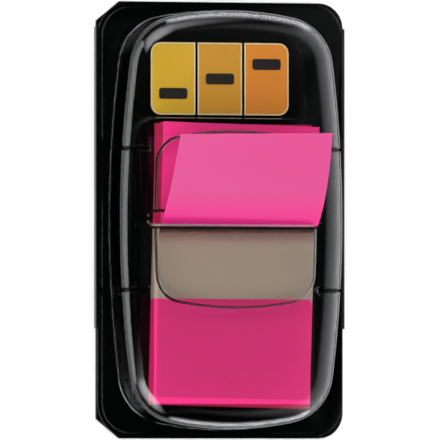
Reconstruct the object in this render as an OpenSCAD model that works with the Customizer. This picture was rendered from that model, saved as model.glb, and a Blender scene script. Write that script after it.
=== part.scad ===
// A pop-up pack of film index tabs, lying on its back. All sizes are in millimetres.
// +X runs across the pack, +Y along it and +Z out of its face. The origin is at the bottom
// centre of the back. Everything is sized outwards from one tab: the pad, the platform under
// it, the cover round it, the cover's flange, and last the back that the flange lies on.

/* [Tabs] */
// Width of one tab
tab_w = 25.4; // [16:0.1:32]
// Length of one tab
tab_l = 43.2; // [38:0.1:52]
// Length of a tab's coloured end
colour_l = 16.2; // [13:0.1:18]
// Thickness of a tab's film
film_t = 0.09; // [0.05:0.01:0.12]
// Thickness of the printed colour
ink_t = 0.05; // [0.03:0.01:0.08]
// Tabs left in the pad
tabs = 50; // [25:1:60]
// How far the pad's top tab is dragged across from its lowest one
pad_lean_x = 0.15; // [0:0.05:0.4]
// How far the pad's top tab is dragged along from its lowest one
pad_lean_y = 0.3; // [0:0.1:0.5]
// Turn of the pad in the pack, clockwise from the front
pad_turn = 1.6; // [0:0.1:2]
// Distance of the pad's middle to the right of the pack's
pad_x = 0.85; // [0:0.05:1]
// How far the pad's colour reaches below the middle of the slot
colour_below_slot = 1.45; // [1.3:0.05:3]

/* [Raised tab] */
// Clearance between the raised tab's clear part and the pad
film_gap = 0.02; // [0.01:0.01:0.05]
// Distance of the raised tab's middle to the left of the pad's
raised_shift = 0.24; // [0:0.01:0.3]
// Turn of the raised tab in the pack, clockwise from the front
raised_turn = 1; // [0:0.1:1.5]
// Length of the raised tab's coloured end
raised_colour_l = 15.8; // [13:0.1:18]
// How far its colour starts below the middle of the slot
raised_start = 0.5; // [0.3:0.05:0.55]
// Depth of the colour's start below the dome's top
raised_drop = 0.2; // [0.1:0.05:0.3]
// Slope of the tab in the slot
raised_slope = 48; // [44:1:60]
// Slope of the tab at its free end
raised_end_slope = 20; // [10:1:25]
// Twist of the free end, left edge up
raised_twist = 5.5; // [0:0.5:10]

/* [Cover] */
// Thickness of the clear sheet
cover_t = 0.35; // [0.25:0.05:0.5]
// Room above the pad under the dome
pad_headroom = 0.95; // [0.8:0.05:1.3]
// Radius of the dome's bowed sides
side_r = 190; // [150:5:400]
// Radius of the dome's bowed ends
end_r = 50; // [36:1:80]
// Radius of the dome's corners
dome_corner_r = 8; // [7:0.5:12]
// Room across from the pad's corner to the middle of the dome's corner
corner_room_x = 1.25; // [1.2:0.05:4]
// Room along from the pad's corner to the middle of the dome's corner
corner_room_y = 0.05; // [0:0.05:3]
// Width of the dome's rounded shoulder
shoulder_w = 3.6; // [2:0.1:4]
// Height of the dome's rounded shoulder
shoulder_h = 2; // [1.5:0.1:2.2]
// How far the dome's walls lean in on the way up
wall_draft = 0.2; // [0:0.1:0.3]
// Width of the flange beside the dome
flange_side = 1.85; // [1.4:0.05:4]
// Width of the flange beyond the dome's ends
flange_end = 1.3; // [1.2:0.1:4]
// Radius of the flange's corners
flange_corner_r = 5.4; // [3:0.1:6]
// Width of the flange's raised margin
margin_w = 0.8; // [0.5:0.1:1]
// Height of the flange's raised margin
margin_h = 0.15; // [0.1:0.05:0.3]
// Diameter of the spot welds in the flange's corners
weld_d = 2.6; // [2:0.1:3]
// Depth of the spot welds
weld_depth = 0.15; // [0.05:0.05:0.2]
// Distance of a spot weld from the flange's corner, along each edge
weld_inset = [4.75, 2.6]; // [1:0.05:8]

/* [Slot and hoods] */
// Width of the slot
slot_w = 2.6; // [2.5:0.1:2.8]
// Room for the raised tab at each end of the slot
slot_room = 0.1; // [0.1:0.01:1]
// Radius of the slot's corners
slot_corner_r = 0.6; // [0.3:0.1:0.6]
// How far the slot runs past the hoods' sides
slot_past_hood = 0.7; // [0.5:0.05:2]
// Distance from the slot's middle to a hood's far edge, at its corners
hood_l = 12.95; // [10:0.05:15]
// Height of the hoods above the dome
hood_h = 0.8; // [0.5:0.1:1.5]
// Radius of the hoods' corners
hood_corner_r = 4.5; // [2:0.1:6]
// Bevel round the hoods' tops
hood_bevel = 0.25; // [0.1:0.05:0.4]

/* [Ribs] */
// Distance of each rib from the middle of the slot
rib_y = 10.9; // [8:0.1:13]
// Width of a rib's groove
rib_w = 0.6; // [0.4:0.1:1]
// Clearance between a rib and the top of the pad
rib_clearance = 0.5; // [0.3:0.05:0.6]
// Distance of a rib's tip from the hood beside it
rib_tip_gap = 0.8; // [0.5:0.1:2]

/* [Back] */
// Thickness of the black sheet
tray_t = 0.5; // [0.35:0.05:0.8]
// Height of the platform's top above the back
platform_h = 2.4; // [2:0.1:5]
// Width of the platform beside the pad
platform_side = 0.2; // [0.1:0.1:0.6]
// Length of the platform beyond the pad's ends
platform_end = 0.3; // [0.1:0.1:0.5]
// Radius of the platform's corners
platform_corner_r = 3.6; // [3:0.1:5]
// How far the platform's walls lean in on the way up
platform_draft = 0.4; // [0:0.1:0.6]
// Gap between the flange and the lip beside it
lip_gap = 0.05; // [0.05:0.05:0.3]
// Width of the lip along each long edge
lip_w = 0.3; // [0.3:0.05:1]
// How far the lip stands out beyond the back's edge
lip_out = 0.2; // [0:0.05:0.2]
// Height of the lip above the back's sheet
lip_h = 0.6; // [0.3:0.1:1]
// Distance of the lips' upper ends from the back's upper end
lip_above = 4; // [4:0.1:20]
// Distance of the lips' lower ends from the back's lower end
lip_below = 17; // [4:0.1:20]
// Length of the back beyond the flange's ends
tray_end = 0.1; // [0.1:0.05:2]
// Radius of the back's right corners
tray_corner_r = 3.9; // [1:0.1:4]
// Size of the cuts on the back's left corners, across
tray_cut_x = 3.7; // [1:0.1:3.8]
// Size of the cuts on the back's left corners, along
tray_cut_y = 3; // [1:0.1:3.6]

/* [Label] */
// Width of the label
label_w = 22.4; // [16:0.1:24]
// Length of the label
label_l = 11.2; // [6:0.1:13]
// Distance of the label from the platform
label_gap = 0.6; // [0.4:0.1:3]
// Thickness of the label's print
print_t = 0.06; // [0.04:0.01:0.1]
// Radius of the label's corners
label_corner_r = 1.6; // [0.5:0.1:3]
// Bare line between two colour fields
field_gap = 0.4; // [0.2:0.1:1]
// Width of each dark bar
bar_w = 4.6; // [2:0.1:4.8]
// Height of each dark bar
bar_h = 1.7; // [0.8:0.1:2]
// Step up from one dark bar to the next
bar_step = 2.3; // [0:0.1:2.5]

/* [Hidden] */

// Steps along each arc of an outline, and round the shoulder's section
arc_steps = 6;
shoulder_steps = 4;
// Height of the thin slices that a hull joins, and how far a cut runs past what it cuts
slice = 0.01;
past = 1;

// The pad, from its top tab's middle. Its lowest tab lies a little left of it and below it.
pad_h = tabs * film_t;
pad_y = colour_l - colour_below_slot - tab_l / 2;
pad_top = platform_h + pad_h;
pad_half = [tab_w / 2 * cos(pad_turn) + tab_l / 2 * sin(pad_turn),
  tab_w / 2 * sin(pad_turn) + tab_l / 2 * cos(pad_turn) + pad_lean_y];
pad_corner = [pad_x + tab_w / 2 * cos(pad_turn) - tab_l / 2 * sin(pad_turn), pad_half.y - pad_y];

// The platform and the label beyond its upper end
platform_half = [pad_x + pad_half.x + platform_side, pad_half.y + platform_end];
label_y = pad_y + platform_half.y + label_gap + label_l / 2;
field_w = (label_w - 2 * field_gap) / 3;

// The dome clears the pad's lower end and the label's upper edge alike
dome_top = pad_top + pad_headroom + cover_t;
half_turn = sqrt(1 / 2);
dome_c = [pad_corner.x + corner_room_x - dome_corner_r * half_turn,
  max(pad_corner.y, label_y + label_l / 2) + corner_room_y - dome_corner_r * half_turn];
dome_half = bowed_half(dome_c, dome_corner_r);

// The flange round the dome, and the back under the flange
flange_half = [dome_half.x + flange_side, dome_half.y + flange_end];
lip_outer = flange_half.x + lip_gap + lip_w;
tray_half = [lip_outer - lip_out, flange_half.y + tray_end];

// The raised tab's middle where its colour starts, and the slot that takes it
raised_x = pad_x - pad_y * tan(pad_turn) - raised_shift;
slot_half = raised_x + tab_w / 2 + slot_room;
hood_c = [slot_half - slot_past_hood, hood_l] - [hood_corner_r, hood_corner_r];
hood_top = dome_top + hood_h;
rib_depth = pad_headroom - ink_t - rib_clearance;
rib_tip = slot_half - slot_past_hood + rib_tip_gap;

// The raised tab's path in its own frame, whose origin is under the start of its colour: flat
// on the pad, an arc up to the slot, and a curve that levels out over the upper hood
film_z = pad_top + ink_t + film_gap;
raised_z = dome_top - raised_drop;
lift_r = (raised_z - film_z) / (1 - cos(raised_slope));
lift_start_y = -lift_r * sin(raised_slope);
flat_l = tab_l - raised_colour_l - lift_r * raised_slope * PI / 180;
film_steps = 10;
free_step = raised_colour_l / film_steps;
function free_slope(share) =
  raised_end_slope + (raised_slope - raised_end_slope) * pow(1 - share, 2);
function lift_station(slope) =
  [lift_start_y + lift_r * sin(slope), film_z + lift_r * (1 - cos(slope)), slope, 0];
flat_stations = [[lift_start_y - flat_l, film_z, 0, 0]];
lift_stations = [for (i = [0 : film_steps - 1]) lift_station(raised_slope * i / film_steps)];
free_stations = [
  for (i = 0, y = 0, z = raised_z; i <= film_steps;
      y = y + free_step * cos(free_slope((i + 0.5) / film_steps)),
      z = z + free_step * sin(free_slope((i + 0.5) / film_steps)),
      i = i + 1)
    [y, z, free_slope(i / film_steps), raised_twist * pow(i / film_steps, 2)]];

// Points along an arc, ends included
function arc(centre, r, from, to) =
  [for (i = [0 : arc_steps]) let (a = from + (to - from) * i / arc_steps)
    [centre.x + r * cos(a), centre.y + r * sin(a)]];

// A quarter outline, from the X axis round to the Y axis, repeated in all four quarters
function flipped(points, sx, sy) = [for (p = points) [sx * p.x, sy * p.y]];
function reversed(points) = [for (i = [len(points) - 1 : -1 : 0]) points[i]];
function four_quarters(q) = concat(q, reversed(flipped(q, -1, 1)), flipped(q, -1, -1),
  reversed(flipped(q, 1, -1)));
function same(a, b) = norm(a - b) < slice / 10;
function no_repeats(points) =
  [for (i = [0 : len(points) - 1]) if (!same(points[i], points[(i + 1) % len(points)])) points[i]];

// A bowed rounded rectangle, from the centre and radius of its corner in the first quarter.
// Its sides and ends are large arcs that run smoothly into the corners.
function bowed_centres(c, r) =
  [c.x - sqrt(pow(side_r - r, 2) - pow(c.y, 2)), c.y - sqrt(pow(end_r - r, 2) - pow(c.x, 2))];
function bowed_half(c, r) = bowed_centres(c, r) + [side_r, end_r];
function bowed(c, r, inset) =
  let (m = bowed_centres(c, r), from = atan2(c.y, c.x - m.x), to = atan2(c.y - m.y, c.x))
  no_repeats(four_quarters(concat(
    arc([m.x, 0], side_r - inset, 0, from),
    arc(c, r - inset, from, to),
    arc([0, m.y], end_r - inset, to, 90))));

// A rounded rectangle about the origin
function rounded(half, r) =
  no_repeats(four_quarters(arc([half.x - r, half.y - r], r, 0, 90)));

// The space under the dome's skin at a depth below its outer face
module dome_body(depth, base) {
  w = shoulder_w - depth;
  h = shoulder_h - depth;
  hull() {
    translate([0, 0, base])
      linear_extrude(slice) polygon(bowed(dome_c, dome_corner_r, depth));
    for (i = [0 : shoulder_steps]) {
      a = 90 * i / shoulder_steps;
      translate([0, 0, dome_top - shoulder_h + h * sin(a) - slice])
        linear_extrude(slice)
          polygon(bowed(dome_c, dome_corner_r, wall_draft + shoulder_w - w * cos(a)));
    }
  }
}

// The space under the two hoods' skin, as one bowed panel that the slot then parts
module hood_body(depth) {
  hull() {
    translate([0, 0, dome_top - shoulder_h])
      linear_extrude(slice) polygon(bowed(hood_c, hood_corner_r, depth));
    translate([0, 0, hood_top - hood_bevel - depth])
      linear_extrude(slice) polygon(bowed(hood_c, hood_corner_r, depth));
    translate([0, 0, hood_top - depth - slice])
      linear_extrude(slice) polygon(bowed(hood_c, hood_corner_r, depth + hood_bevel));
  }
}

// One rib's groove on the outside, or its body on the inside, as a slab over the dome's side.
// Whatever lies deeper in the dome than the rib reaches is left out.
module rib_slab(side, y, grow, depth) {
  reach = dome_half.x + past;
  difference() {
    translate([side > 0 ? rib_tip - grow : -reach, y - rib_w / 2 - grow, tray_t + cover_t])
      cube([reach - rib_tip + grow, rib_w + 2 * grow, dome_top]);
    dome_body(depth, 0);
  }
}

module each_rib(grow, depth) {
  for (side = [-1, 1], y = [-rib_y, rib_y]) rib_slab(side, y, grow, depth);
}

module flange() {
  translate([0, 0, tray_t])
    linear_extrude(cover_t) polygon(rounded(flange_half, flange_corner_r));
  translate([0, 0, tray_t + cover_t])
    linear_extrude(margin_h) difference() {
      polygon(rounded(flange_half, flange_corner_r));
      polygon(rounded(flange_half - [margin_w, margin_w], flange_corner_r - margin_w));
    }
}

module spot_welds() {
  for (sx = [-1, 1], sy = [-1, 1])
    translate([sx * (flange_half.x - weld_inset.x), sy * (flange_half.y - weld_inset.y),
        tray_t + cover_t - weld_depth])
      cylinder(d = weld_d, h = past, $fn = 24);
}

module clear_cover() {
  color([0.85, 0.88, 0.9, 0.35]) difference() {
    union() {
      difference() {
        union() {
          flange();
          difference() {
            dome_body(0, tray_t);
            each_rib(0, rib_depth);
          }
        }
        spot_welds();
      }
      hood_body(0);
    }
    difference() {
      dome_body(cover_t, tray_t - past);
      each_rib(cover_t, cover_t + rib_depth);
    }
    hood_body(cover_t);
    translate([0, 0, dome_top - shoulder_h])
      linear_extrude(shoulder_h + hood_h + past)
        polygon(rounded([slot_half, slot_w / 2], slot_corner_r));
  }
}

// The back's outline: cut corners on the left, rounded ones on the right
module tray_outline() {
  corner = tray_half - [tray_corner_r, tray_corner_r];
  polygon(concat(
    arc(corner, tray_corner_r, 0, 90),
    [[tray_cut_x - tray_half.x, tray_half.y], [-tray_half.x, tray_half.y - tray_cut_y],
     [-tray_half.x, tray_cut_y - tray_half.y], [tray_cut_x - tray_half.x, -tray_half.y]],
    arc([corner.x, -corner.y], tray_corner_r, -90, 0)));
}

// The platform's outer or inner form, thinner by an inset and lower by as much
module platform_body(inset, base) {
  half = platform_half - [inset, inset];
  draft = [platform_draft, platform_draft];
  r = platform_corner_r - inset;
  translate([0, pad_y, 0]) hull() {
    translate([0, 0, base])
      linear_extrude(slice) polygon(rounded(half + draft, r + platform_draft));
    translate([0, 0, platform_h - inset - slice])
      linear_extrude(slice) polygon(rounded(half, r));
  }
}

module back_tray() {
  color([0.05, 0.06, 0.06]) difference() {
    union() {
      linear_extrude(tray_t) tray_outline();
      platform_body(0, 0);
      for (side = [-1, 1])
        translate([side * (lip_outer - lip_w / 2) - lip_w / 2, lip_below - tray_half.y, 0])
          cube([lip_w, 2 * tray_half.y - lip_below - lip_above, tray_t + lip_h]);
    }
    platform_body(tray_t, -past);
  }
}

// A slice of the leaning pad between two places along its top, grown over its sides and top
module pad_block(from, to, grow) {
  half = tab_w / 2 + grow;
  foot = [[-half, from], [half, from], [half, to], [-half, to]];
  points = concat([for (p = foot) [p.x - pad_lean_x, p.y - pad_lean_y, 0]],
    [for (p = foot) [p.x, p.y, pad_h + grow]]);
  translate([pad_x, pad_y, platform_h]) rotate(-pad_turn)
    polyhedron(points, [[0, 1, 2, 3], [7, 6, 5, 4], [4, 5, 1, 0], [5, 6, 2, 1], [6, 7, 3, 2],
      [7, 4, 0, 3]]);
}

module tab_pad() {
  color([0.72, 0.68, 0.6]) pad_block(-tab_l / 2, tab_l / 2, 0);
}

// The printed colour over the top, sides and end of the pad
module pad_colour(from, to) {
  color([0.86, 0.2, 0.48]) difference() {
    pad_block(from, to, ink_t);
    pad_block(-tab_l / 2, tab_l / 2, 0);
  }
}

module pad_colour_upper() {
  pad_colour(tab_l / 2 - colour_l, tab_l / 2 + ink_t);
}

module pad_colour_lower() {
  pad_colour(-tab_l / 2 - ink_t, colour_l - tab_l / 2);
}

// A ring across the raised tab: its station's four corners between two heights over the path
function film_ring(station, low, high) =
  let (slope = station[2], twist = station[3],
    rise = [0, -sin(slope), cos(slope)],
    across = [cos(twist), 0, 0] - sin(twist) * rise,
    normal = cos(twist) * rise + [sin(twist), 0, 0],
    middle = [0, station[0], station[1]])
  [for (k = [[-1, low], [1, low], [1, high], [-1, high]])
    middle + k[0] * tab_w / 2 * across + k[1] * normal];

// A sheet of film along a row of stations. Its upper face is split along the same diagonals as
// its lower one, so that print lies on it face to face.
module film_strip(stations, low, high) {
  last = len(stations) - 1;
  points = [for (s = stations) each film_ring(s, low, high)];
  sides = [for (i = [0 : last - 1], k = [0 : 3], half = [0, 1])
    let (a = 4 * i + k, b = 4 * i + (k + 1) % 4, upper = k == 2)
    half == 0 ? [a, a + 4, upper ? b : b + 4] : [upper ? a + 4 : a, b + 4, b]];
  ends = [[0, 1, 2], [0, 2, 3], [4 * last + 2, 4 * last + 1, 4 * last],
    [4 * last + 3, 4 * last + 2, 4 * last]];
  translate([raised_x, -raised_start, 0]) rotate(-raised_turn)
    polyhedron(points, concat(sides, ends));
}

module raised_tab() {
  color([0.8, 0.78, 0.74])
    film_strip(concat(flat_stations, lift_stations, free_stations), 0, film_t);
}

module raised_tab_colour() {
  color([0.94, 0.4, 0.64]) film_strip(free_stations, film_t, film_t + ink_t);
}

// One of the label's three colour fields, from left to right, lying on the back's sheet
module label_field(i) {
  translate([0, label_y, tray_t]) linear_extrude(print_t) intersection() {
    polygon(rounded([label_w / 2, label_l / 2], label_corner_r));
    translate([i * (field_w + field_gap) - label_w / 2, -label_l / 2])
      square([field_w, label_l]);
  }
}

module label_yellow() {
  color([0.84, 0.69, 0.18]) label_field(0);
}

module label_amber() {
  color([0.8, 0.59, 0.18]) label_field(1);
}

module label_orange() {
  color([0.86, 0.55, 0.18]) label_field(2);
}

// A dark bar on each colour field, each a step higher than the one to its left
module label_bars() {
  color([0.12, 0.1, 0.08]) for (i = [-1, 0, 1])
    translate([i * (field_w + field_gap), label_y + i * bar_step, tray_t + print_t])
      linear_extrude(print_t) polygon(rounded([bar_w / 2, bar_h / 2], bar_h / 4));
}

back_tray();
clear_cover();
tab_pad();
pad_colour_upper();
pad_colour_lower();
raised_tab();
raised_tab_colour();
label_yellow();
label_amber();
label_orange();
label_bars();
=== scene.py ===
"""The finish of a pop-up pack of film index tabs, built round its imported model.

The pack lies on its back on a pale floor. One operator makes each piece and one makes the
stage; main() runs them in order. Lengths are in metres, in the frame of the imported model:
+X across the pack, +Y along it, +Z out of its face.
"""

import math
import random

import bmesh
import bpy
from mathutils import Matrix, Quaternion, Vector


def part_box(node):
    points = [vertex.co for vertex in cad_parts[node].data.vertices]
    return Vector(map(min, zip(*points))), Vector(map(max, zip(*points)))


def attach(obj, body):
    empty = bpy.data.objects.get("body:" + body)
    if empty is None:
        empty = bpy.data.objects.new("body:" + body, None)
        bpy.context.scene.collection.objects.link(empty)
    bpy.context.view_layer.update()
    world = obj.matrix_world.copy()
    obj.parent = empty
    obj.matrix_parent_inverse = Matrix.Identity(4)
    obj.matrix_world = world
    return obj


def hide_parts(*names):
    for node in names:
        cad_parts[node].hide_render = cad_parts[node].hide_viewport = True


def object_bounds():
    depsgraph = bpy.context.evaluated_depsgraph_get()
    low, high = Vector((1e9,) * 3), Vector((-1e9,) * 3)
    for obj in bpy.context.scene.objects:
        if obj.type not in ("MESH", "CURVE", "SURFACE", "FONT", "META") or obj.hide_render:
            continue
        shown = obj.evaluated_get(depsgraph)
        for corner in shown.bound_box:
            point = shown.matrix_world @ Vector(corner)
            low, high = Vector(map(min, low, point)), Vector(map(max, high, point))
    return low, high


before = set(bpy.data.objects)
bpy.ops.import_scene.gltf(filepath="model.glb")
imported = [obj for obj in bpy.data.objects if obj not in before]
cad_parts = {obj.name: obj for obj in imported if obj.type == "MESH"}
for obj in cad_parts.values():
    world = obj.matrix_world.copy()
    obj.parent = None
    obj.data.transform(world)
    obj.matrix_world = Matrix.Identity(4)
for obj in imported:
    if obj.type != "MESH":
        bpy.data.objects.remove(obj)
CAD_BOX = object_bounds()

bl_info = {
    "name": "Index Tab Pack",
    "version": (1, 0, 0),
    "blender": (4, 5, 0),
    "location": "3D View > Sidebar > Index Tabs",
    "description": "Makes the looks of a pop-up pack of film index tabs",
    "category": "Add Mesh",
}

MM = 0.001
BODY = "root"

# The cover's materials, in order
SHEET, CUT_EDGE, LIT_BEND, WALL, SHADED_BEND = range(5)

# The pad's materials, in order
PRINT, PRINT_EDGE_AND_SHADE, FILM, FILM_EDGE = range(4)

# The materials of a label field, in order
FIELD, RIM = range(2)

# The sides, -1 or 1, of each of the four corners, across and along
CORNERS = ((-1, -1), (-1, 1), (1, -1), (1, 1))

# Width of the flat strips beside a bend, which keep its shading off the flat faces
LEDGE = 0.06 * MM

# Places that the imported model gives
PAD_LOW, PAD_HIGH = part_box("tab_pad")
COVER_LOW, COVER_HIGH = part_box("clear_cover")
TRAY_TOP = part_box("label_amber")[0].z


def length(name, millimetres, description):
    """A length to set, given in millimetres and kept in metres."""
    return bpy.props.FloatProperty(
        name=name, description=description, default=millimetres * MM, min=0.0,
        precision=5, unit="LENGTH", subtype="DISTANCE")


def turn(name, degrees, description):
    """An angle to set, given in degrees and kept in radians."""
    return bpy.props.FloatProperty(
        name=name, description=description, default=math.radians(degrees), subtype="ANGLE")


def colour(name, red, green, blue, description):
    """A colour to set, given as it looks on screen, from 0 to 255."""
    return bpy.props.FloatVectorProperty(
        name=name, description=description, default=[to_linear(v) for v in (red, green, blue)],
        min=0.0, max=1.0, size=3, subtype="COLOR")


def to_linear(level):
    """The linear light of a screen level from 0 to 255."""
    share = level / 255
    return share / 12.92 if share <= 0.04045 else ((share + 0.055) / 1.055) ** 2.4


class CoverSizes(bpy.types.PropertyGroup):
    """Sizes of the formed clear cover."""

    sheet: length("Sheet", 0.3, "Thickness of the clear sheet")
    side_r: length("Side radius", 190, "Radius of the dome's bowed sides")
    end_r: length("End radius", 50, "Radius of the dome's bowed ends")
    corner_r: length("Corner radius", 8, "Radius of the dome's corners")
    corner_x: length("Corner across", 8.535, "Middle of the dome's corner, across")
    corner_y: length("Corner along", 23.489, "Middle of the dome's corner, along")
    shoulder_w: length("Shoulder width", 3.6, "Width of the dome's rounded shoulder")
    shoulder_h: length("Shoulder height", 2, "Height of the dome's rounded shoulder")
    draft: length("Draft", 0.05, "How far the dome's walls lean in on the way up")
    foot_r: length("Foot radius", 0.2, "Radius where the dome's wall meets the flange")
    flange_t: length("Flange height", 0.35, "Height of the flange above the back")
    flange_corner_r: length("Flange corner", 5.4, "Radius of the flange's corners")
    margin_w: length("Margin width", 0.8, "Width of the flange's raised margin")
    margin_h: length("Margin height", 0.04, "Height of the flange's raised margin")
    margin_droop: length("Margin droop", 0.02, "How far the margin droops outwards")
    weld_d: length("Weld width", 2.6, "Diameter of the spot welds in the flange")
    weld_depth: length("Weld depth", 0.006, "Depth of the spot welds")
    weld_edge_w: length("Weld edge", 0.25, "Width of each ring round a weld's middle")
    weld_x: length("Weld across", 4.75, "Distance of a weld from the flange's side")
    weld_y: length("Weld along", 2.6, "Distance of a weld from the flange's end")
    hood_x: length("Hood corner across", 8.401, "Middle of the hood's corner, across")
    hood_y: length("Hood corner along", 8.45, "Middle of the hood's corner, along")
    hood_r: length("Hood corner radius", 4.5, "Radius of the hood's corners")
    hood_h: length("Hood height", 0.8, "Height of the hoods above the dome")
    hood_foot_r: length("Hood foot", 0.1, "Radius at the foot of the hoods' walls")
    hood_edge_r: length("Hood edge", 0.42, "Radius round the hoods' tops")
    slot_x: length("Slot half length", 13.6, "Half the length of the slot")
    slot_y: length("Slot half width", 1.5, "Half the width of the slot, its rolled edge included")
    slot_r: length("Slot corner", 0.6, "Radius of the slot's corners")
    lip_w: length("Lip width", 0.45, "How far the slot's edge rolls inwards")
    lip_end_w: length("Lip end", 0.05, "How far the slot's ends roll inwards")
    lip_h: length("Lip drop", 0.35, "How far the slot's edge rolls down")
    lip_edge_w: length("Lip edge", 0.32, "Width of the pale strip at the slot's lower side")
    rib_y: length("Rib place", 10.9, "Distance of each rib from the slot")
    rib_w: length("Rib width", 0.6, "Width of a rib's groove")
    rib_depth: length("Rib depth", 0.35, "Depth of a rib's groove")
    rib_edge_w: length("Rib edge", 0.08, "Width of each step down into a rib's groove")
    rib_tip: length("Rib tip", 13.7, "Distance of a rib's tip from the pack's middle")


class BackSizes(bpy.types.PropertyGroup):
    """Sizes of the black formed back and of the label on it."""

    edge_r: length("Edge radius", 0.12, "Radius of the back's edges")
    lip_r: length("Lip radius", 0.28, "Radius of the right lip's upper outer edge")
    rim_w: length("Rim width", 0.22, "Width of the pale rim round a label field")


class TabSizes(bpy.types.PropertyGroup):
    """Sizes of the film tabs."""

    tab_w: length("Tab width", 25.4, "Width of one tab")
    tab_l: length("Tab length", 43.2, "Length of one tab")
    colour_l: length("Coloured end", 16.2, "Length of a tab's coloured end")
    film_t: length("Film", 0.09, "Thickness of a tab's film")
    ink_t: length("Ink", 0.05, "Thickness of the printed colour")
    ink_run: length("Ink run", 0.5, "How far the raised print runs down through the slot")
    stack_x: length("Stack across", 0.48, "Place of the pad's upper tabs, across")
    stack_drop: length("Stack drop", 0.2, "How far the pad lies below its top tabs")
    stack_shear: bpy.props.FloatProperty(
        name="Shear", description="How much more the pad's sides lean than its ends",
        default=0.02, min=0.0, max=0.05)
    lean_x: length("Lean across", 0.55, "How far the lowest tab lies to the right")
    lean_y: length("Lean along", 0.2, "How far the lowest tab lies down the pack")
    jitter: length("Jitter", 0.05, "How unevenly the tabs lie on each other")
    upper_l: length("Upper colour", 15.7, "Length of the colour that shows above the slot")
    end_shade: length("End shade", 0.5, "Width of the dark line along the pad's lower end")
    lower_x: length("Lower tab across", 0.03, "Place of the tab whose colour shows below")
    lower_turn: turn("Lower turn", 0.2, "Turn of the tab whose colour shows below")
    pad_x: length("Pad across", 0.85, "Place of the pad's middle, across")
    pad_y: length("Pad along", 6.85, "Place of the pad's middle below the slot")
    pad_turn: turn("Pad turn", 1.6, "Turn of the pad, clockwise from the front")
    raised_x: length("Raised tab across", 0.801, "Place of the raised tab's middle, across")
    raised_start: length("Raised start", 0.5, "How far its colour starts below the slot")
    raised_l: length("Raised colour", 15.8, "Length of the raised tab's coloured end")
    raised_z: length("Raised height", 8.0, "Height where its colour starts")
    film_z: length("Film height", 6.97, "Height of its clear part on the pad")
    raised_turn: turn("Raised turn", 1, "Turn of the raised tab, clockwise from the front")
    slope: turn("Slope", 48, "Slope of the raised tab in the slot")
    end_slope: turn("End slope", 20, "Slope of the raised tab at its free end")
    twist: turn("Twist", 5.5, "Twist of the free end, left edge up")


class PackColours(bpy.types.PropertyGroup):
    """Colours of the pack."""

    back: colour("Back", 4, 6, 6, "The black formed sheet")
    # The raised tab's print colours hold painted light: sheen towards the tip, shade at the foot
    # and a brighter fill in the slot.
    raised: colour("Raised tab", 192, 63, 124, "Print on the raised tab")
    raised_foot: colour("Raised tab's foot", 209, 26, 121, "Print on it near the slot")
    raised_fold_light: colour("Raised tab's fold", 250, 40, 150, "Print on it in the slot")
    pad: colour("Pad ends", 250, 50, 138, "Print on the pad's ends")
    # The edge colour of the printed tabs, darkened with painted shade; it also paints the shaded
    # strips at the tabs' ends.
    pad_side_and_shade: colour("Pad sides", 174, 22, 72, "Edges of the printed tabs")
    film: colour("Film", 184, 166, 150, "The pad's clear middle")
    film_side: colour("Film edges", 150, 134, 116, "Edges of the clear film")
    haze: colour("Haze", 232, 205, 195, "Haze of the matt film")
    # A painted reflection of the raised end's pink, seen in its clear film.
    flush: colour("Flush", 150, 70, 74, "The raised end's colour, seen in its film")
    shade: colour("Shade", 66, 42, 36, "The film in the shade below the slot")
    yellow: colour("Yellow", 202, 162, 38, "The label's left field")
    amber: colour("Amber", 194, 141, 38, "The label's middle field")
    orange: colour("Orange", 208, 128, 38, "The label's right field")
    rim: colour("Rim", 212, 194, 148, "Pale rim round a label field")
    bars: colour("Bars", 20, 18, 14, "The label's dark bars")
    floor: colour("Floor", 248, 248, 248, "The pale floor")


class Wire:
    """A shader value. Arithmetic on it adds Math nodes."""

    def __init__(self, recipe, socket):
        self.recipe = recipe
        self.socket = socket

    def _math(self, operation, first, second):
        return self.recipe.add(
            "ShaderNodeMath", {"operation": operation}, {0: first, 1: second})

    def __add__(self, other):
        return self._math("ADD", self, other)

    def __sub__(self, other):
        return self._math("SUBTRACT", self, other)

    def __rsub__(self, other):
        return self._math("SUBTRACT", other, self)

    def __mul__(self, other):
        return self._math("MULTIPLY", self, other)

    def __truediv__(self, other):
        return self._math("DIVIDE", self, other)

    def __pow__(self, other):
        return self._math("POWER", self, other)


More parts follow.
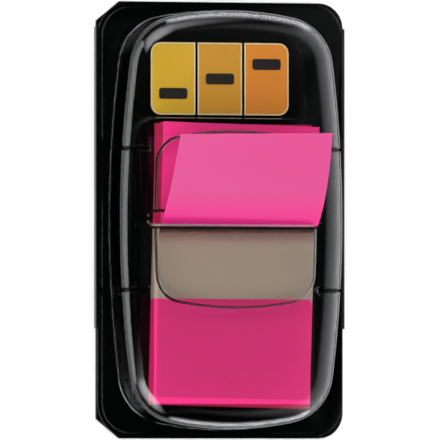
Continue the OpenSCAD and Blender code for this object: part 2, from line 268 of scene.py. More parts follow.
class Recipe:
    """The nodes of a material or of the sky while they are put together."""

    def __init__(self, owner):
        owner.use_nodes = True
        self.owner = owner
        self.tree = owner.node_tree
        self.tree.nodes.clear()

    @classmethod
    def named(cls, name):
        """The nodes of a new material."""
        return cls(bpy.data.materials.new(name))

    def add(self, kind, settings=None, sockets=None, out=0):
        """Adds a node, sets it, fills its sockets and returns one of its outputs."""
        node = self.tree.nodes.new(kind)
        for name, value in (settings or {}).items():
            setattr(node, name, value)
        for name, value in (sockets or {}).items():
            target = node.inputs[name]
            if isinstance(value, Wire):
                self.tree.links.new(value.socket, target)
            elif hasattr(target.default_value, "__len__") and len(target.default_value) == 4:
                target.default_value = (*value[:3], 1.0)
            else:
                target.default_value = value
        return Wire(self, node.outputs[out])

    def place(self):
        """The point of the surface, in the pack's own frame."""
        return self.add("ShaderNodeTexCoord", out="Object")

    def noise(self, scale, detail=2.0, stretch=(1.0, 1.0, 1.0)):
        """Soft noise from 0 to 1, with features 1 / scale metres wide."""
        at = self.add("ShaderNodeMapping", {}, {"Vector": self.place(), "Scale": stretch})
        return self.add("ShaderNodeTexNoise", {}, {"Vector": at, "Scale": scale, "Detail": detail})

    def step(self, value, low, high, before=0.0, after=1.0):
        """Goes smoothly from before to after as the value goes from low to high."""
        return self.add(
            "ShaderNodeMapRange", {"interpolation_type": "SMOOTHSTEP"},
            {"Value": value, "From Min": low, "From Max": high, "To Min": before,
             "To Max": after})

    def blend(self, share, first, second):
        """A mix of two colours."""
        node = self.tree.nodes.new("ShaderNodeMix")
        node.data_type = "RGBA"
        for socket, value in zip((node.inputs[0], node.inputs[6], node.inputs[7]),
                                 (share, first, second)):
            if isinstance(value, Wire):
                self.tree.links.new(value.socket, socket)
            elif socket == node.inputs[0]:
                socket.default_value = value
            else:
                socket.default_value = (*value[:3], 1.0)
        return Wire(self, node.outputs[2])

    def bump(self, height, distance):
        """Normals tilted by a height from 0 to 1 over a distance in metres."""
        return self.add("ShaderNodeBump", {}, {"Height": height, "Distance": distance})

    def surface(self, sockets):
        """A Principled surface."""
        return self.add("ShaderNodeBsdfPrincipled", {}, sockets)

    def matt(self, tint, smoothest, roughest, gloss=0.5):
        """A matt surface with a fine grain, between its smoothest and roughest."""
        grain = self.noise(9000, 2)
        return self.surface({
            "Base Color": tint,
            "Roughness": self.step(grain, 0.2, 0.8, smoothest, roughest),
            "Specular IOR Level": gloss,
            "Normal": self.bump(grain, 0.0015 * MM),
        })

    def mix(self, share, first, second):
        """A mix of two surfaces."""
        return self.add("ShaderNodeMixShader", {}, {0: share, 1: first, 2: second})

    def finish(self, shader, kind="ShaderNodeOutputMaterial"):
        """Sends the shader to the output and returns what the nodes belong to."""
        output = self.tree.nodes.new(kind)
        self.tree.links.new(shader.socket, output.inputs["Surface"])
        return self.owner


def clear_material(name, pass_through, edge_pass, shine=1.0, streaked=False):
    """Glossy clear sheet, darker and more of a mirror the flatter it is seen. Streaks lie
    level round a drawn wall."""
    recipe = Recipe.named(name)
    edge_on = recipe.add("ShaderNodeLayerWeight", {}, {"Blend": 0.5}, out="Facing")
    waves = recipe.noise(150, 1)
    scuffs = recipe.noise(1400, 3, (1.0, 0.12, 1.0))
    mirror = recipe.surface({
        "Base Color": (0.97, 0.97, 1.0),
        "Metallic": 1.0,
        "Roughness": recipe.step(scuffs, 0.55, 0.8, 0.04, 0.12),
        "Normal": recipe.bump(waves, 0.004 * MM),
    })
    face = recipe.add("ShaderNodeBsdfTransparent", {}, {"Color": pass_through})
    edge = recipe.add("ShaderNodeBsdfTransparent", {}, {"Color": edge_pass})
    seen = recipe.mix(recipe.step(edge_on, 0.45, 0.92), face, edge)
    share = (edge_on ** 5 * 0.96 + 0.04) * shine
    if streaked:
        streaks = recipe.noise(2500, 1, (0.02, 0.02, 1.0))
        share = share * recipe.step(streaks, 0.4, 0.7, 0.15, 1.0)
    return recipe.finish(recipe.mix(share, seen, mirror))


def cut_edge_material():
    """The sheet's cut edge, a little frosted and pinkish pale. On the strip at the slot's lower
    side this pale frost is a painted highlight.
    """
    recipe = Recipe.named("clear_cut_edge")
    grain = recipe.noise(5000, 2)
    frost = recipe.surface({"Base Color": (0.75, 0.6, 0.62), "Roughness": 0.4})
    through = recipe.add("ShaderNodeBsdfTransparent", {}, {"Color": (0.95, 0.93, 0.94)})
    return recipe.finish(recipe.mix(recipe.step(grain, 0.2, 0.8, 0.1, 0.25), through, frost))


def black_material(name, tint):
    """Glossy black formed sheet."""
    recipe = Recipe.named(name)
    grain = recipe.noise(900, 4)
    return recipe.finish(recipe.surface({
        "Base Color": recipe.blend(grain, tint, [0.6 * v for v in tint]),
        "Roughness": recipe.step(grain, 0.3, 0.8, 0.04, 0.08),
        "IOR": 1.5,
        "Normal": recipe.bump(grain, 0.001 * MM),
    }))


def film_material(name, tint, depth=0.12):
    """Matt film or print, with a fine grain. Its colour is uneven by up to the depth."""
    recipe = Recipe.named(name)
    cloud = recipe.noise(90, 2)
    darker = [(1 - depth) * v for v in tint]
    return recipe.finish(recipe.matt(recipe.blend(cloud, tint, darker), 0.32, 0.48))


def raised_print_and_light_material(fold, foot, tip, foot_y, tip_y):
    """The raised tab's print, with painted light: whiter towards its tip as a painted sheen,
    deeper in colour towards the slot as painted shade, and brighter in the slot as painted fill.
    """
    recipe = Recipe.named("raised_print")
    along = recipe.add("ShaderNodeSeparateXYZ", {}, {0: recipe.place()}, out="Y")
    cloud = recipe.noise(70, 2)
    share = recipe.step(along + (cloud - 0.5) * 2 * MM, foot_y, tip_y)
    # Painted fill light on the print in the slot, where the tab lies in shadow.
    lit_in_slot = recipe.step(along, foot_y - 0.2 * MM, foot_y + 0.9 * MM, 1.0, 0.0)
    tint = recipe.blend(lit_in_slot, recipe.blend(share, foot, tip), fold)
    return recipe.finish(recipe.matt(tint, 0.55, 0.65, 0.3))


def raised_film_material(haze, flush, shade, slot_y):
    """The raised tab's clear film. Next to the slot's edge it is in painted shade, and from there
    on a painted reflection of the raised end's colour shows in it, weaker and weaker."""
    recipe = Recipe.named("raised_film")
    grain = recipe.noise(9000, 2)
    cloud = recipe.noise(900, 3)
    along = recipe.add("ShaderNodeSeparateXYZ", {}, {0: recipe.place()}, out="Y")
    below = along * -1 - slot_y + (cloud - 0.5) * 0.3 * MM
    shaded = recipe.step(below, 0.2 * MM, 0.7 * MM, 1.0, 0.0)
    reflected_share = recipe.step(below, 0.6 * MM, 3.2 * MM, 1.0, 0.0)
    tint = recipe.blend(shaded, recipe.blend(reflected_share, haze, flush), shade)
    body = recipe.matt(tint, 0.4, 0.55)
    through = recipe.add("ShaderNodeBsdfTransparent", {}, {"Color": (0.955, 0.952, 0.947)})
    beside = recipe.step(below, -0.6 * MM, -0.2 * MM)
    return recipe.finish(recipe.mix((shaded * 0.6 + reflected_share * 0.17) * beside + grain * 0.01,
                                    through, body))


def add_piece(name, bm, materials, replaced=(), smooth_to=None):
    """Makes a finished piece of a bmesh, on the pack's body. It is smooth where its faces
    meet at less than an angle in degrees, and sharp at its open edges."""
    if smooth_to is not None:
        for face in bm.faces:
            face.smooth = True
        for edge in bm.edges:
            edge.smooth = edge.is_manifold and edge.calc_face_angle() < math.radians(smooth_to)
    mesh = bpy.data.meshes.new(name)
    bm.to_mesh(mesh)
    bm.free()
    for material in materials:
        mesh.materials.append(material)
    piece = bpy.data.objects.new(name, mesh)
    bpy.context.scene.collection.objects.link(piece)
    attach(piece, BODY)
    if replaced:
        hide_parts(*replaced)
    return piece


def only(geom, kind):
    """The vertices, the edges or the faces among what an operator returns."""
    return [g for g in geom if isinstance(g, kind)]


def ring_edges(verts):
    """The edges that join the given vertices."""
    chosen = set(verts)
    return list({e for v in chosen for e in v.link_edges if set(e.verts) <= chosen})


def turn_up(face):
    """Makes a flat face look up."""
    face.normal_update()
    if face.normal.z < 0:
        face.normal_flip()
    return face


def fill_ring(bm, edges):
    """One face over a closed flat ring, facing up."""
    return turn_up(bmesh.ops.contextual_create(bm, geom=edges)["faces"][0])


def bowed_face(bm, sizes, corner, corner_r, grow, z):
    """A bowed rounded rectangle as one face, grown outwards: three arcs that run smoothly
    into each other, spun in one quarter and mirrored into the other three."""
    corner_r, side_r, end_r = (r + grow for r in (corner_r, sizes.side_r, sizes.end_r))
    side_x = corner.x - math.sqrt((side_r - corner_r) ** 2 - corner.y ** 2)
    end_y = corner.y - math.sqrt((end_r - corner_r) ** 2 - corner.x ** 2)
    first = math.atan2(corner.y, corner.x - side_x)
    second = math.atan2(corner.y - end_y, corner.x)
    arcs = (((side_x, 0, z), first, 12), ((corner.x, corner.y, z), second - first, 16),
            ((0, end_y, z), math.pi / 2 - second, 12))
    last = bmesh.ops.create_vert(bm, co=(side_x + side_r, 0, z))["vert"][0]
    verts = [last]
    for centre, angle, steps in arcs:
        before = set(bm.verts)
        made = bmesh.ops.spin(bm, geom=[last], cent=centre, axis=(0, 0, 1), angle=angle,
                              steps=steps)
        last = only(made["geom_last"], bmesh.types.BMVert)[0]
        verts += [v for v in bm.verts if v not in before]
    for axis in ("X", "Y"):
        before = set(bm.verts)
        bmesh.ops.mirror(bm, geom=verts + ring_edges(verts), matrix=Matrix.Identity(4),
                         merge_dist=MM / 1000, axis=axis)
        verts = [v for v in verts if v.is_valid] + [v for v in bm.verts if v not in before]
    return fill_ring(bm, ring_edges(verts))


def rounded_face(bm, half, corner_r, z):
    """A rounded rectangle as one face."""
    verts = bmesh.ops.create_grid(bm, x_segments=1, y_segments=1, size=1)["verts"]
    bmesh.ops.scale(bm, vec=(half.x, half.y, 1), verts=verts)
    bmesh.ops.translate(bm, vec=(0, 0, z), verts=verts)
    bmesh.ops.bevel(bm, geom=verts, offset=corner_r, segments=14, profile=0.5, material=-1,
                    affect="VERTICES")
    level = (f for f in bm.faces if all(abs(v.co.z - z) < MM / 1000 for v in f.verts))
    return turn_up(max(level, key=lambda f: f.calc_area()))


def raise_profile(bm, face, steps):
    """Forms a face upwards through rings, each a step inwards and up from the last. Returns
    the rings' faces."""
    made = []
    for inwards, up in steps:
        made += bmesh.ops.inset_region(bm, faces=[face], thickness=inwards, depth=up,
                                       use_boundary=True, use_even_offset=True)["faces"]
    return made


def quarter_steps(wide, high, count, foot):
    """Steps of a quarter round: a foot turns from flat to steep, a shoulder from steep to
    flat."""
    turns = [math.pi / 2 * i / count for i in range(count + 1)]
    if foot:
        places = [(wide * math.sin(t), high * (1 - math.cos(t))) for t in turns]
    else:
        places = [(wide * (1 - math.cos(t)), high * math.sin(t)) for t in turns]
    return [(b[0] - a[0], b[1] - a[1]) for a, b in zip(places, places[1:])]


def fill_between(bm, rings):
    """Fills the flat space between one ring and the rings inside it."""
    edges = list({e for ring in rings for e in ring})
    made = bmesh.ops.triangle_fill(bm, use_beauty=True, edges=edges, normal=(0, 0, 1))["geom"]
    for face in only(made, bmesh.types.BMFace):
        turn_up(face)


def drop_face(bm, face):
    """Deletes a face and returns the edges that it leaves open."""
    edges = list(face.edges)
    bmesh.ops.delete(bm, geom=[face], context="FACES_ONLY")
    return edges


def cut(bm, place, normal, faces):
    """Cuts the given faces by a plane."""
    geom = set(faces)
    for face in faces:
        geom.update(face.edges)
        geom.update(face.verts)
    bmesh.ops.bisect_plane(bm, geom=list(geom), dist=MM / 10000, plane_co=place,
                           plane_no=normal)


def form_cover(bm, sizes):
    """The cover's outer surface: margin, flange, dome and hoods."""
    flange_z = TRAY_TOP + sizes.flange_t
    margin_z = flange_z + sizes.margin_h - sizes.margin_droop
    margin = rounded_face(bm, COVER_HIGH, sizes.flange_corner_r, margin_z)
    raise_profile(bm, margin, [(sizes.margin_w - 3 * LEDGE, sizes.margin_droop), (LEDGE, 0),
                               (2 * LEDGE, -sizes.margin_h), (LEDGE, 0)])
    rings = [drop_face(bm, margin)]

    dome = bowed_face(bm, sizes, Vector((sizes.corner_x, sizes.corner_y)), sizes.corner_r,
                      sizes.foot_r + LEDGE, flange_z)
    rings.append(list(dome.edges))
    welds = [weld_ring(bm, sizes, side, end, flange_z) for side, end in CORNERS]
    fill_between(bm, rings + welds)
    down = (sizes.weld_edge_w, -sizes.weld_depth / 2)
    for ring in welds:
        raise_profile(bm, fill_ring(bm, ring), [down, down, (sizes.weld_edge_w, 0)])
    top = dome_top(sizes)
    wall_h = top - sizes.shoulder_h - flange_z - sizes.foot_r
    raise_profile(bm, dome, [(LEDGE, 0)])
    raise_profile(bm, dome, quarter_steps(sizes.foot_r, sizes.foot_r, 5, foot=True))
    for face in raise_profile(bm, dome, [(sizes.draft, wall_h)]):
        face.material_index = WALL
    raise_profile(bm, dome, quarter_steps(sizes.shoulder_w, sizes.shoulder_h, 18, foot=False))
    raise_profile(bm, dome, [(LEDGE, 0)])
    rings = [drop_face(bm, dome)]

    hood = bowed_face(bm, sizes, Vector((sizes.hood_x, sizes.hood_y)), sizes.hood_r,
                      sizes.hood_foot_r + LEDGE, top)
    rings.append(list(hood.edges))
    fill_between(bm, rings)
    wall_h = sizes.hood_h - sizes.hood_foot_r - sizes.hood_edge_r
    raise_profile(bm, hood, [(LEDGE, 0)])
    shade_bends(raise_profile(bm, hood, [
        *quarter_steps(sizes.hood_foot_r, sizes.hood_foot_r, 5, foot=True),
        (0.01 * MM, wall_h),
        *quarter_steps(sizes.hood_edge_r, sizes.hood_edge_r, 9, foot=False)]))
    raise_profile(bm, hood, [(LEDGE, 0)])


def shade_bends(faces):
    """Gives the hoods' bends their material: a painted highlight where they face right,
    towards the light, and painted shade elsewhere, up to where they turn flat."""
    for face in faces:
        face.normal_update()
        out = face.normal.xy.normalized()
        flat_from = 35 if abs(out.y) > abs(out.x) else 50
        if out.x > 0.5:
            face.material_index = LIT_BEND
        elif face.normal.z < math.cos(math.radians(flat_from)):
            face.material_index = SHADED_BEND


def dome_top(sizes):
    """Height of the dome's flat top."""
    return COVER_HIGH.z - sizes.hood_h


def weld_ring(bm, sizes, side, end, z):
    """The outer ring of a round weld in one corner of the flange."""
    at = Vector((side * (COVER_HIGH.x - sizes.weld_x), end * (COVER_HIGH.y - sizes.weld_y), z))
    verts = bmesh.ops.create_circle(bm, segments=28, radius=sizes.weld_d / 2,
                                    matrix=Matrix.Translation(at))["verts"]
    return ring_edges(verts)


def cut_slot(bm, sizes):
    """Cuts the slot between the hoods and rolls its edge down."""
    half = Vector((sizes.slot_x, sizes.slot_y))
    low = dome_top(sizes) - sizes.shoulder_h / 10

    def upper_faces():
        return [f for f in bm.faces if min(v.co.z for v in f.verts) > low]

    for side in (-1, 1):
        cut(bm, (side * half.x, 0, 0), (1, 0, 0), upper_faces())
        cut(bm, (0, side * half.y, 0), (0, 1, 0), upper_faces())
    corner_cuts = 4
    for side, end in CORNERS:
        centre = Vector((side * (half.x - sizes.slot_r), end * (half.y - sizes.slot_r), 0))
        for i in range(1, corner_cuts):
            angle = math.pi / 2 * i / corner_cuts
            out = Vector((side * math.cos(angle), end * math.sin(angle), 0))
            near = [f for f in upper_faces()
                    if (f.calc_center_median().xy - centre.xy).length < half.y]
            cut(bm, centre + out * sizes.slot_r, out, near)

    def inside(face):
        over = face.calc_center_median().xy
        past = Vector((abs(over.x) - half.x + sizes.slot_r, abs(over.y) - half.y + sizes.slot_r))
        if past.x > 0 and past.y > 0:
            return past.length < sizes.slot_r
        return past.x < sizes.slot_r and past.y < sizes.slot_r

    bmesh.ops.delete(bm, geom=[f for f in upper_faces() if inside(f)], context="FACES")
    roll_edge(bm, sizes, [e for e in bm.edges
                          if e.is_boundary and min(v.co.z for v in e.verts) > low])


def roll_edge(bm, sizes, ring):
    """Rolls the slot's edge inwards and down, dark with painted shade, and ends its lower side
    in a pale strip of painted highlight.
    """
    half = Vector((sizes.slot_x, sizes.slot_y))
    steps = 4
    step = math.pi / 2 / steps
    before = Vector((0, 0))
    for i in range(1, steps + 1):
        drop = sizes.lip_h * (math.cos(step * (i - 1)) - math.cos(step * i))
        now = Vector((sizes.lip_end_w, sizes.lip_w)) * math.sin(step * i)
        made = bmesh.ops.extrude_edge_only(bm, edges=ring)["geom"]
        # The rolled edge takes the shaded bend material: painted shade.
        for face in only(made, bmesh.types.BMFace):
            face.material_index = SHADED_BEND
        verts = only(made, bmesh.types.BMVert)
        ring = [e for e in only(made, bmesh.types.BMEdge) if e.is_boundary]
        scale = ((half.x - now.x) / (half.x - before.x), (half.y - now.y) / (half.y - before.y), 1)
        bmesh.ops.scale(bm, vec=scale, verts=verts)
        bmesh.ops.translate(bm, vec=(0, 0, -drop), verts=verts)
        before = now
    lower = [e for e in ring if max(v.co.y for v in e.verts) < 0]
    made = bmesh.ops.extrude_edge_only(bm, edges=lower)["geom"]
    bmesh.ops.translate(bm, vec=(0, sizes.lip_edge_w, -sizes.lip_edge_w / 4),
                        verts=only(made, bmesh.types.BMVert))
    # The pale strip: a painted highlight.
    for face in only(made, bmesh.types.BMFace):
        face.material_index = CUT_EDGE


def press_ribs(bm, sizes):
    """Presses the four ribs into the dome's sides."""
    foot_z = TRAY_TOP + sizes.flange_t + sizes.foot_r * 0.98

    def side_faces(side):
        """The dome's faces near its left or right side, above its foot."""
        return [f for f in bm.faces
                if side * f.calc_center_median().x > sizes.rib_tip - sizes.rib_w
                and min(v.co.z for v in f.verts) > foot_z]

    def rib_faces(side, middle):
        """Those of them that lie in one rib's strip."""
        return [f for f in side_faces(side)
                if abs(f.calc_center_median().y - middle) < sizes.rib_w / 2]

    for side, end in CORNERS:
        middle = end * sizes.rib_y
        for edge in (-1, 1):
            cut(bm, (0, middle + edge * sizes.rib_w / 2, 0), (0, 1, 0), side_faces(side))
        cut(bm, (side * sizes.rib_tip, 0, 0), (1, 0, 0), rib_faces(side, middle))
        groove = [f for f in rib_faces(side, middle)
                  if side * f.calc_center_median().x > sizes.rib_tip]
        for share in (0.4, 0.6):
            bmesh.ops.inset_region(bm, faces=groove, thickness=sizes.rib_edge_w,
                                   depth=-share * sizes.rib_depth, use_boundary=True,
                                   use_even_offset=True)
        # The grooves take the shaded bend material: painted shade.
        for face in groove:
            face.material_index = SHADED_BEND


class MakeCover(bpy.types.Operator):
    """Makes the clear formed cover"""

    bl_idname = "index_tabs.make_cover"
    bl_label = "Clear Cover"
    bl_options = {"REGISTER", "UNDO"}

    def execute(self, context):
        sizes = context.scene.index_tab_cover
        bm = bmesh.new()
        form_cover(bm, sizes)
        press_ribs(bm, sizes)
        cut_slot(bm, sizes)
        bmesh.ops.remove_doubles(bm, verts=bm.verts[:], dist=MM / 2000)
        if min(f.normal.z for f in bm.faces if f.calc_area() > MM * MM) < -0.5:
            raise RuntimeError("a face of the cover points down")
        # The lit bend's paler pass and doubled gloss are a painted highlight; the shaded bend's
        # dark tint is painted shade.
        materials = [clear_material("clear_sheet", (0.99, 0.99, 0.99), (0.1, 0.1, 0.1)),
                     cut_edge_material(),
                     clear_material("clear_lit_bend", (0.6, 0.62, 0.65), (0.25, 0.26, 0.28), 2.0),
                     clear_material("clear_wall", (0.85, 0.85, 0.85), (0.1, 0.1, 0.1), 0.6,
                                    streaked=True),
                     clear_material("clear_shaded_bend", (0.18, 0.15, 0.13), (0.1, 0.09, 0.08), 0.35)]
        piece = add_piece("clear_dome", bm, materials, ["clear_cover"],
                          smooth_to=40)
        wall = piece.modifiers.new("sheet", "SOLIDIFY")
        wall.thickness = sizes.sheet
        wall.offset = -1
        wall.use_even_offset = True
        wall.material_offset_rim = CUT_EDGE
        return {"FINISHED"}


def plain_copy(node):
    """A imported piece's mesh, with each of its flat areas made one face."""
    bm = bmesh.new()
    bm.from_mesh(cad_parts[node].data)
    bmesh.ops.remove_doubles(bm, verts=bm.verts[:], dist=MM / 1000)
    bmesh.ops.dissolve_limit(bm, angle_limit=math.radians(2), verts=bm.verts[:],
                             edges=bm.edges[:])
    return bm


class MakeBack(bpy.types.Operator):
    """Makes the black formed back, with its edges rounded"""

    bl_idname = "index_tabs.make_back"
    bl_label = "Formed Back"
    bl_options = {"REGISTER", "UNDO"}

    def execute(self, context):
        sizes = context.scene.index_tab_back
        bm = plain_copy("back_tray")
        sharp = [e for e in bm.edges if e.is_manifold and e.calc_face_angle() > math.radians(40)]
        outer = [e for e in sharp if self.on_lip(e)]
        rest = [e for e in sharp if e not in outer]
        for edges, radius in ((outer, sizes.lip_r), (rest, sizes.edge_r)):
            edges = [e for e in edges if e.is_valid]
            bmesh.ops.bevel(bm, geom=edges, offset=radius, segments=5, profile=0.5,
                            material=-1, affect="EDGES", clamp_overlap=True)
        colours = context.scene.index_tab_colours
        add_piece("black_back", bm, [black_material("black_sheet", colours.back)],
                  ["back_tray"], smooth_to=40)
        return {"FINISHED"}

    @staticmethod
    def on_lip(edge):
        """Whether an edge is the upper outer edge of the right side's lip."""
        return all(v.co.x > CAD_BOX[1].x - 0.05 * MM and v.co.z > TRAY_TOP + 0.4 * MM
                   for v in edge.verts)


class MakePad(bpy.types.Operator):
    """Makes the pad of tabs, one thin layer for each tab"""

    bl_idname = "index_tabs.make_pad"
    bl_label = "Pad of Tabs"
    bl_options = {"REGISTER", "UNDO"}

    def execute(self, context):
        sizes = context.scene.index_tab_sizes
        colours = context.scene.index_tab_colours
        rng = random.Random(7)
        bm = bmesh.new()
        stacked = round((PAD_HIGH.z - PAD_LOW.z) / sizes.film_t) - 2
        for i in range(stacked):
            down = 1 - i / (stacked - 1)
            place = Vector((sizes.stack_x + down * sizes.lean_x,
                            -sizes.pad_y - sizes.stack_drop - down * sizes.lean_y, i))
            place.xy += Vector((rng.uniform(-1, 1), rng.uniform(-1, 1))) * sizes.jitter
            self.lay_tab(bm, sizes, place, sizes.pad_turn, sizes.stack_shear, True, True)
        self.lay_tab(bm, sizes, (sizes.lower_x, -sizes.pad_y, stacked),
                     sizes.lower_turn, 0, False, True)
        self.lay_tab(bm, sizes, (sizes.pad_x, -sizes.pad_y, stacked + 1),
                     sizes.pad_turn, 0, True, False)
        materials = [film_material("pad_print", colours.pad),
                     film_material("pad_print_edge_and_shade", colours.pad_side_and_shade),
                     film_material("pad_film", colours.film),
                     film_material("pad_film_edge", colours.film_side)]
        add_piece("tab_stack", bm, materials,
                  ["tab_pad", "pad_colour_upper", "pad_colour_lower"])
        return {"FINISHED"}

    @staticmethod
    def lay_tab(bm, sizes, place, turned, shear, upper_print, lower_print):
        """Lays one tab on the pad. Its place is across, along and in layers from the back.
        A tab without print at its lower end has only its printed upper end, because its
        clear film can't be told from the pad's. One without print at its upper end is as
        dark there as the pad's sides, like the shaded print that shows through it."""
        thick = sizes.film_t * 0.9
        verts = bmesh.ops.create_cube(bm, size=1)["verts"]
        faces = list({f for v in verts for f in v.link_faces})
        bmesh.ops.scale(bm, vec=(sizes.tab_w, sizes.tab_l, thick), verts=verts)
        upper = sizes.tab_l / 2 - sizes.upper_l
        lower = sizes.colour_l - sizes.tab_l / 2
        shade = sizes.end_shade - sizes.tab_l / 2
        for y in (upper, lower, shade):
            geom = faces + list({e for f in faces for e in f.edges}
                                | {v for f in faces for v in f.verts})
            made = bmesh.ops.bisect_plane(bm, geom=geom, dist=MM / 10000, plane_co=(0, y, 0),
                                          plane_no=(0, 1, 0))["geom"]
            faces = only(made, bmesh.types.BMFace)
        for face in faces:
            y = face.calc_center_median().y
            # Painted shade: the strip along a tab's lower end, or the upper end of the tab without
            # print there, takes the edge colour.
            dark_end = y < shade if upper_print else y > upper
            if lower < y < upper:
                top, side = FILM, FILM_EDGE
            else:
                top, side = PRINT, PRINT_EDGE_AND_SHADE
            face.material_index = side if abs(face.normal.z) < 0.5 or dark_end else top
        if not lower_print:
            cleared = [f for f in faces if f.calc_center_median().y < upper]
            faces = [f for f in faces if f not in cleared]
            bmesh.ops.delete(bm, geom=cleared, context="FACES")
            open_edges = [e for e in {e for f in faces for e in f.edges} if e.is_boundary]
            faces += bmesh.ops.contextual_create(bm, geom=open_edges)["faces"]
        verts = list({v for f in faces for v in f.verts})
        bmesh.ops.transform(bm, matrix=Matrix.Shear("XZ", 4, (shear, 0)), verts=verts,
                            space=Matrix.Rotation(math.pi / 2, 4, "X"))
        bmesh.ops.rotate(bm, cent=(0, 0, 0), verts=verts, matrix=Matrix.Rotation(-turned, 3, "Z"))
        height = PAD_LOW.z + (place[2] + 1) * sizes.film_t - thick / 2
        bmesh.ops.translate(bm, verts=verts, vec=(place[0], place[1], height))


def raised_place(sizes, across, along, lift):
    """A point of the raised tab from its place across, from -1 to 1, and along, in metres
    from where its colour starts, at a height above its underside."""
    rise = sizes.raised_z - sizes.film_z
    bend_r = rise / (1 - math.cos(sizes.slope))
    bend_l = bend_r * sizes.slope
    twist = 0.0
    if along < -bend_l:
        y = -bend_r * math.sin(sizes.slope) + along + bend_l
        z = sizes.film_z
        slope = 0.0
    elif along < 0:
        slope = (along + bend_l) / bend_r
        y = bend_r * (math.sin(slope) - math.sin(sizes.slope))
        z = sizes.film_z + bend_r * (1 - math.cos(slope))
    else:
        steps = 20
        y, z = 0.0, sizes.raised_z
        for i in range(steps):
            share = (i + 0.5) / steps * along / sizes.raised_l
            slope = free_slope(sizes, share)
            y += along / steps * math.cos(slope)
            z += along / steps * math.sin(slope)
        slope = free_slope(sizes, along / sizes.raised_l)
        twist = sizes.twist * (along / sizes.raised_l) ** 2
    up = Vector((0, -math.sin(slope), math.cos(slope)))
    sideways = Vector((math.cos(twist), 0, 0)) - math.sin(twist) * up
    normal = math.cos(twist) * up + Vector((math.sin(twist), 0, 0))
    point = Vector((0, y, z)) + across * sizes.tab_w / 2 * sideways + lift * normal
    point.rotate(Matrix.Rotation(-sizes.raised_turn, 3, "Z"))
    return point + Vector((sizes.raised_x, -sizes.raised_start, 0))


def free_slope(sizes, share):
    """Slope of the raised tab's free end, easing off towards its edge."""
    return sizes.end_slope + (sizes.slope - sizes.end_slope) * (1 - share) ** 2


def film_sheet(sizes, start, end, lift):
    """A grid bent along the raised tab's path."""
    bm = bmesh.new()
    rows = max(8, round((end - start) / (0.35 * MM)))
    bmesh.ops.create_grid(bm, x_segments=12, y_segments=rows, size=1)
    for vert in bm.verts:
        along = start + (end - start) * (vert.co.y + 1) / 2
        vert.co = raised_place(sizes, vert.co.x, along, lift)
    bmesh.ops.recalc_face_normals(bm, faces=bm.faces[:])
    if sum(f.normal.z for f in bm.faces) < 0:
        bmesh.ops.reverse_faces(bm, faces=bm.faces[:])
    return bm


class MakeRaisedTab(bpy.types.Operator):
    """Makes the tab that is popped up through the slot, its film and its print"""

    bl_idname = "index_tabs.make_raised_tab"
    bl_label = "Raised Tab"
    bl_options = {"REGISTER", "UNDO"}

    def execute(self, context):
        sizes = context.scene.index_tab_sizes
        colours = context.scene.index_tab_colours
        clear_l = sizes.tab_l - sizes.raised_l
        foot = raised_place(sizes, 0, 0, 0)
        tip = raised_place(sizes, 0, sizes.raised_l, 0)
        film = add_piece("raised_film", film_sheet(sizes, -clear_l, sizes.raised_l, 0),
                         [raised_film_material(colours.haze, colours.flush, colours.shade,
                                               context.scene.index_tab_cover.slot_y)],
                         ["raised_tab"], smooth_to=40)
        pink = raised_print_and_light_material(colours.raised_fold_light, colours.raised_foot, colours.raised,
                                     foot.y - 0.4 * MM, foot.lerp(tip, 0.4).y)
        ink = add_piece("raised_print",
                        film_sheet(sizes, -sizes.ink_run, sizes.raised_l, sizes.film_t),
                        [pink], ["raised_tab_colour"], smooth_to=40)
        for piece, thick in ((film, sizes.film_t * 0.96), (ink, sizes.ink_t)):
            sheet = piece.modifiers.new("sheet", "SOLIDIFY")
            sheet.thickness = thick
            sheet.offset = 1
        return {"FINISHED"}


class MakeLabel(bpy.types.Operator):
    """Makes the printed label: three fields with pale rims and three dark bars"""

    bl_idname = "index_tabs.make_label"
    bl_label = "Label"
    bl_options = {"REGISTER", "UNDO"}

    def execute(self, context):
        colours = context.scene.index_tab_colours
        rim_w = context.scene.index_tab_back.rim_w
        rim = film_material("label_rim", colours.rim, 0.2)
        for shade in ("yellow", "amber", "orange"):
            node = f"label_{shade}"
            bm = plain_copy(node)
            top = max(bm.faces, key=lambda f: f.normal.z * f.calc_area())
            for face in bm.faces:
                face.material_index = RIM
            bmesh.ops.inset_region(bm, faces=[top], thickness=rim_w, depth=0,
                                   use_boundary=True, use_even_offset=True)
            top.material_index = FIELD
            print_colour = film_material(f"label_{shade}_print", getattr(colours, shade), 0.15)
            add_piece(f"label_{shade}_field", bm, [print_colour, rim], [node])
        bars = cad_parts["label_bars"]
        bars.data.materials.clear()
        bars.data.materials.append(film_material("label_bar_print", colours.bars, 0.3))
        return {"FINISHED"}


def softbox(name, azimuth, low, high, spread, radiance, roll=0, mirrored=True):
    """A soft lamp facing the pack. Its place is an azimuth, anticlockwise from +X, and the
    elevations of its lower and upper edges, in degrees. Its roll, also in degrees, lowers
    its edge on the side of the larger azimuths. Its radiance is 1 where a white floor's is.
    A lamp that isn't mirrored lights the matt surfaces only."""
    distance = 0.6
    middle = math.radians((low + high) / 2)
    out = Vector((math.cos(math.radians(azimuth)) * math.cos(middle),
                  math.sin(math.radians(azimuth)) * math.cos(middle), math.sin(middle)))
    lamp = bpy.data.lights.new(name, "AREA")
    lamp.shape = "RECTANGLE"
    lamp.size = 2 * distance * math.tan(math.radians(spread) / 2)
    lamp.size_y = 2 * distance * math.tan(math.radians(high - low) / 2)
    lamp.energy = 4 * lamp.size * lamp.size_y * radiance
    item = bpy.data.objects.new(name, lamp)
    bpy.context.scene.collection.objects.link(item)
    item.location = out * distance
    item.rotation_mode = "QUATERNION"
    item.rotation_quaternion = (out.to_track_quat("Z", "Y")
                                @ Quaternion((0, 0, 1), math.radians(roll)))
    item.visible_camera = False
    item.visible_glossy = mirrored


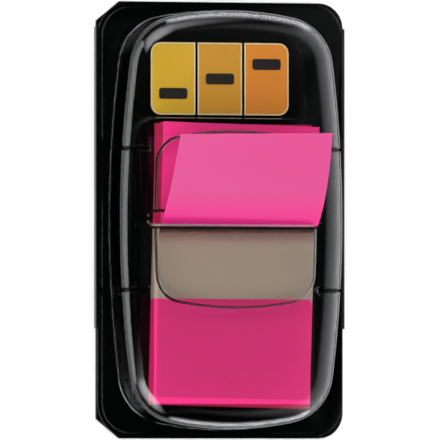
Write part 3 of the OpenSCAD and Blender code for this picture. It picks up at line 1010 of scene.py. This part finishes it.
class MakeStage(bpy.types.Operator):
    """Makes the camera, the soft studio light and the pale floor"""

    bl_idname = "index_tabs.make_stage"
    bl_label = "Stage"
    bl_options = {"REGISTER", "UNDO"}

    def execute(self, context):
        scene = context.scene
        self.add_camera(scene)
        self.add_floor(scene)
        self.add_sky(scene)
        softbox("left_box", 168, 6, 38, 62, 1.7, roll=-22)
        softbox("fill_box", 150, 40, 80, 60, 0.9, mirrored=False)
        scene.view_settings.view_transform = "Standard"
        return {"FINISHED"}

    def add_camera(self, scene):
        """A long lens 18 degrees to the left of straight above and a little below it."""
        distance = 2.0
        tilt, lean = math.radians(18), math.radians(1)
        out = Vector((-math.sin(tilt) * math.cos(lean), -math.sin(lean),
                      math.cos(tilt) * math.cos(lean)))
        view_width = 68.13 * MM
        camera = bpy.data.cameras.new("camera")
        camera.sensor_width = 36
        camera.lens = camera.sensor_width * distance / view_width
        item = bpy.data.objects.new("camera", camera)
        scene.collection.objects.link(item)
        item.location = Vector((0.20, 0.06, 0)) * MM + out * distance
        item.rotation_mode = "QUATERNION"
        item.rotation_quaternion = self.facing(out)
        scene.camera = item

    @staticmethod
    def facing(out):
        """The turn of a camera that looks back along a direction with +Y upright."""
        right = Vector((0, 1, 0)).cross(out).normalized()
        up = out.cross(right)
        return Matrix((right, up, out)).transposed().to_quaternion()

    def add_floor(self, scene):
        """A wide pale floor under the pack."""
        bm = bmesh.new()
        bmesh.ops.create_grid(bm, x_segments=1, y_segments=1, size=6)
        mesh = bpy.data.meshes.new("floor")
        bm.to_mesh(mesh)
        bm.free()
        recipe = Recipe.named("pale_floor")
        grain = recipe.noise(40, 3)
        tint = scene.index_tab_colours.floor
        mesh.materials.append(recipe.finish(recipe.surface({
            "Base Color": recipe.blend(grain, tint, [0.98 * v for v in tint]),
            "Roughness": 0.15,
        })))
        item = bpy.data.objects.new("floor", mesh)
        scene.collection.objects.link(item)

    def add_sky(self, scene):
        """Soft light round the pack, fading upwards, with darkness where the camera is."""
        recipe = Recipe(bpy.data.worlds.new("sky"))
        scene.world = recipe.owner
        place = recipe.add("ShaderNodeTexCoord", out="Generated")
        x, y, z = (recipe.add("ShaderNodeSeparateXYZ", {}, {0: place}, out=axis)
                   for axis in "XYZ")
        flat = (1.001 - z * z) ** 0.5

        def window(azimuth, inner, outer):
            """The sky round one azimuth: all of it within the inner angle, none of it past
            the outer one."""
            turned = math.radians(azimuth)
            towards = (x * math.cos(turned) + y * math.sin(turned)) / flat
            return recipe.step(towards, math.cos(math.radians(outer)),
                               math.cos(math.radians(inner)))

        def fade(low, high, before, after):
            """Goes from one radiance to another between two elevations."""
            return recipe.step(z, math.sin(math.radians(low)), math.sin(math.radians(high)),
                               before, after)

        def falling(top, power, radiance):
            """Falls from a radiance at the horizon to none at the height named top."""
            height = recipe.add("ShaderNodeMapRange", {}, {
                "Value": z, "From Min": 0.0, "From Max": top, "To Min": 1.0, "To Max": 0.0})
            return height ** power * radiance

        right = window(0, 38, 62) * falling(1.1, 1.3, 4.5) * fade(57, 70, 1.0, 0.0)
        top = window(66, 18, 27) * falling(0.58, 1.3, 11.0)
        bottom = window(296, 16, 25) * falling(0.5, 1.5, 13.5)
        left = window(180, 22, 48) * fade(4, 14, 1.1, 0.0)
        high_left = window(102, 12, 42) * fade(26, 56, 0.0, 4.4) * fade(64, 74, 1.0, 0.0)
        low_left = window(229, 14, 42) * fade(20, 60, 0.0, 6.3) * fade(66, 74, 1.0, 0.0)
        light = recipe.add("ShaderNodeBackground", {}, {
            "Strength": right + top + bottom + left + high_left + low_left})
        recipe.finish(light, "ShaderNodeOutputWorld")


class IndexTabsPanel(bpy.types.Panel):
    """Lists the pieces, sizes and colours of the pack"""

    bl_idname = "VIEW3D_PT_index_tabs"
    bl_label = "Index Tabs"
    bl_space_type = "VIEW_3D"
    bl_region_type = "UI"
    bl_category = "Index Tabs"

    def draw(self, context):
        for operator in OPERATORS:
            self.layout.operator(operator.bl_idname, text=operator.bl_label)
        for group in GROUPS:
            settings = getattr(context.scene, group)
            box = self.layout.box()
            for name in settings.__annotations__:
                box.prop(settings, name)


GROUPS = {
    "index_tab_cover": CoverSizes,
    "index_tab_back": BackSizes,
    "index_tab_sizes": TabSizes,
    "index_tab_colours": PackColours,
}
OPERATORS = (MakeStage, MakeBack, MakePad, MakeRaisedTab, MakeLabel, MakeCover)


def register():
    for name, group in GROUPS.items():
        bpy.utils.register_class(group)
        setattr(bpy.types.Scene, name, bpy.props.PointerProperty(type=group))
    for item in (*OPERATORS, IndexTabsPanel):
        bpy.utils.register_class(item)


def unregister():
    for item in (IndexTabsPanel, *OPERATORS):
        bpy.utils.unregister_class(item)
    for name, group in GROUPS.items():
        delattr(bpy.types.Scene, name)
        bpy.utils.unregister_class(group)


def main():
    """Makes every piece and the stage."""
    register()
    tools = bpy.ops.index_tabs
    tools.make_stage()
    tools.make_back()
    tools.make_pad()
    tools.make_raised_tab()
    tools.make_label()
    tools.make_cover()


if __name__ == "__main__":
    main()
